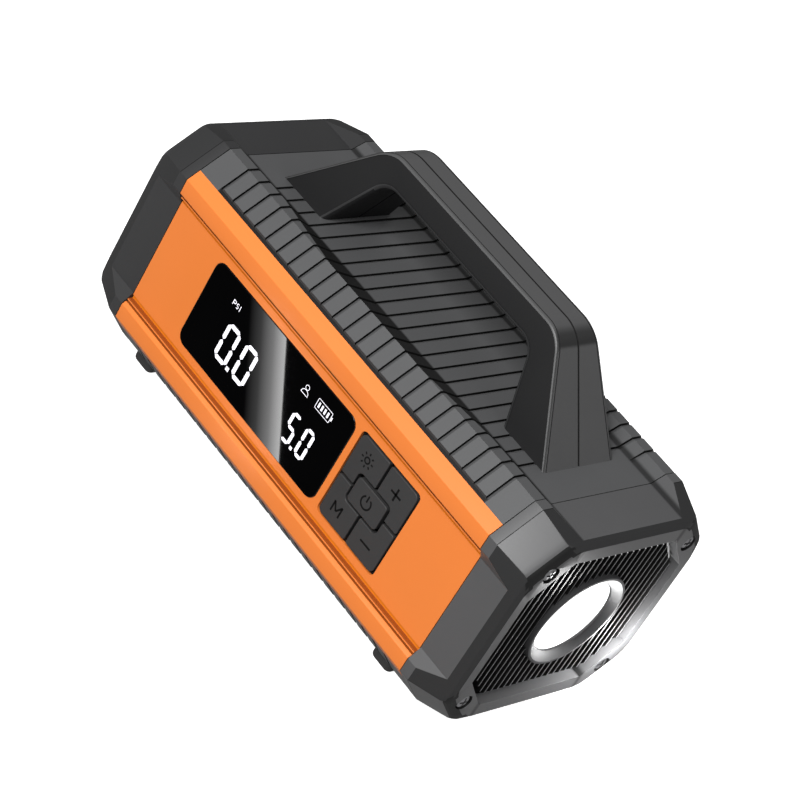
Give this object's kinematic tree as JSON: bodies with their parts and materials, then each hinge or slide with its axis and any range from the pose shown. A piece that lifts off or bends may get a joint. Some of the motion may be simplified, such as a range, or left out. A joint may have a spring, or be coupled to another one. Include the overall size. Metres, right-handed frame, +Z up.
{
  "type": "jump starter pack",
  "caption": "Portable jump starter pack with a built-in tyre compressor, pressure display, keypad, work lamp and a fixed carrying handle.",
  "frame": {"origin": "on the ground under the middle of the body, between the four feet", "axes": "+X along the body towards the work lamp, +Z up, -Y towards the display and keypad"},
  "size_m": [0.2, 0.0924, 0.117],
  "materials": {
    "shell_black": "fine moulded texture",
    "cap_black": "fine moulded texture",
    "panel_orange": "satin",
    "handle_black": "satin",
    "blackened_steel": "blackened",
    "steel": "brushed",
    "handle_nylon": "plain",
    "foot_rubber": "matte",
    "display_glass": "polished black",
    "display_unit": "gloss",
    "circuit_board": "solder resist",
    "keypad_rubber": "matte",
    "switch_body": "plain",
    "grille_black": "satin",
    "bezel_grey": "satin silver",
    "lamp_lens": "frosted",
    "soft_rubber": "matte",
    "reflector": "mirror",
    "led_white": "phosphor",
    "aluminium": "cast",
    "cell_foil": "laminated foil",
    "copper": "bare copper",
    "tray_plastic": "plain",
    "magnet": "sintered",
    "brass_fitting": "turned",
    "gear_nylon": "natural nylon",
    "socket_plastic": "blue nylon",
    "socket_steel": "stamped",
    "cover_rubber": "matte"
  },
  "bodies": {
    "case": {"top_shell": "shell_black", "bottom_shell": "shell_black", "display_side_panel": "panel_orange", "back_side_panel": "panel_orange", "lamp_end_cap": "cap_black", "port_end_cap": "cap_black", "lamp_cap_screws": "blackened_steel", "port_cap_screws": "blackened_steel", "handle_display_half": "handle_black", "handle_back_half": "handle_black", "handle_dowels": "handle_nylon", "handle_screws": "steel", "rubber_feet": "foot_rubber", "display_glass": "display_glass", "display_module": "display_unit", "display_board": "circuit_board", "keypad_frame": "keypad_rubber", "keypad_plate": "keypad_rubber", "key_switches": "switch_body", "fin_grille": "grille_black", "lamp_bezel": "bezel_grey", "lamp_lens": "lamp_lens", "lens_gasket": "soft_rubber", "lamp_reflector": "reflector", "lamp_led": "led_white", "lamp_board": "circuit_board", "lamp_heat_sink": "aluminium", "battery_cells": "cell_foil", "cell_tabs": "copper", "battery_tray": "tray_plastic", "main_board": "circuit_board", "board_standoffs": "tray_plastic", "jump_relay": "switch_body", "capacitors": "switch_body", "pressure_sensor": "switch_body", "motor_case": "steel", "motor_magnet_ring": "magnet", "pump_frame": "aluminium", "pump_cylinder": "aluminium", "cylinder_head": "aluminium", "air_tube": "soft_rubber", "air_outlet": "brass_fitting", "cover_hinge_pins": "steel", "jump_socket": "socket_plastic", "jump_contacts": "copper", "bus_bars": "copper", "usb_a_socket": "socket_steel", "usb_c_socket": "socket_steel"},
    "light_key": {"light_key": "keypad_rubber"},
    "plus_key": {"plus_key": "keypad_rubber"},
    "mode_key": {"mode_key": "keypad_rubber"},
    "minus_key": {"minus_key": "keypad_rubber"},
    "power_key": {"power_key": "keypad_rubber"},
    "jump_cover": {"jump_cover": "cover_rubber"},
    "usb_cover": {"usb_cover": "cover_rubber"},
    "crank": {"crank_gear": "gear_nylon"},
    "rotor": {"motor_pinion": "brass_fitting", "motor_shaft": "steel", "motor_armature": "copper"},
    "piston": {"piston_rod": "gear_nylon"}
  },
  "joints": [
    {"name": "light_key_press", "type": "slide", "parent": "case", "child": "light_key", "axis": [0, 1, 0], "range_m": [0, 0.0008], "stiffness_N_per_m": 600},
    {"name": "plus_key_press", "type": "slide", "parent": "case", "child": "plus_key", "axis": [0, 1, 0], "range_m": [0, 0.0008], "stiffness_N_per_m": 600},
    {"name": "mode_key_press", "type": "slide", "parent": "case", "child": "mode_key", "axis": [0, 1, 0], "range_m": [0, 0.0008], "stiffness_N_per_m": 600},
    {"name": "minus_key_press", "type": "slide", "parent": "case", "child": "minus_key", "axis": [0, 1, 0], "range_m": [0, 0.0008], "stiffness_N_per_m": 600},
    {"name": "power_key_press", "type": "slide", "parent": "case", "child": "power_key", "axis": [0, 1, 0], "range_m": [0, 0.0008], "stiffness_N_per_m": 600},
    {"name": "jump_cover_hinge", "type": "hinge", "parent": "case", "child": "jump_cover", "pos_m": [-0.0972, -0.014, 0.0635], "axis": [0, 1, 0], "range_deg": [0, 110]},
    {"name": "usb_cover_hinge", "type": "hinge", "parent": "case", "child": "usb_cover", "pos_m": [-0.0972, -0.0095, 0.0355], "axis": [0, 1, 0], "range_deg": [0, 110]},
    {"name": "crank_spin", "type": "hinge", "parent": "case", "child": "crank", "pos_m": [-0.05, 0.0155, 0.049], "axis": [0, 1, 0], "continuous": true},
    {"name": "rotor_spin", "type": "hinge", "parent": "case", "child": "rotor", "pos_m": [-0.05, -0.005, 0.025], "axis": [0, 1, 0], "continuous": true},
    {"name": "piston_slide", "type": "slide", "parent": "case", "child": "piston", "axis": [1, 0, 0], "range_m": [-0.01, 0]}
  ],
  "couplings": [
    {"joint": "crank_spin", "follows": "rotor_spin", "ratio": -0.25}
  ]
}
